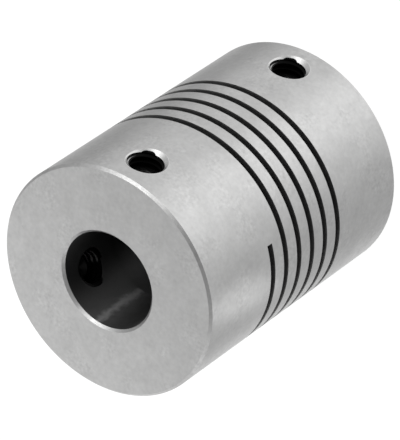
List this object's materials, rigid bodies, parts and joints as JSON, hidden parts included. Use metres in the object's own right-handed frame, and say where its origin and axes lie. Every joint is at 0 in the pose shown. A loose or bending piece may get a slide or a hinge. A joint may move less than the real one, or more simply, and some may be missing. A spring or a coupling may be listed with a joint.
{
  "type": "shaft coupling",
  "caption": "One-piece helical slit flexible shaft coupling with plain hub bores and headless set screws, for joining two shafts end to end.",
  "frame": {"origin": "on the bore axis, at the middle of the body's length", "axes": "+Z along the bore axis towards the upper hub, whose end face the picture shows; +X along the first set screw of each hub"},
  "size_m": [0.019, 0.019, 0.025],
  "materials": {
    "body_aluminium": "satin, fine blasted grain, uncoated",
    "screw_black_steel": "black oxide, faintly oily"
  },
  "bodies": {
    "root": {"coupling_body": "body_aluminium", "set_screw_upper_first": "screw_black_steel", "set_screw_upper_second": "screw_black_steel", "set_screw_lower_first": "screw_black_steel", "set_screw_lower_second": "screw_black_steel"}
  },
  "joints": []
}
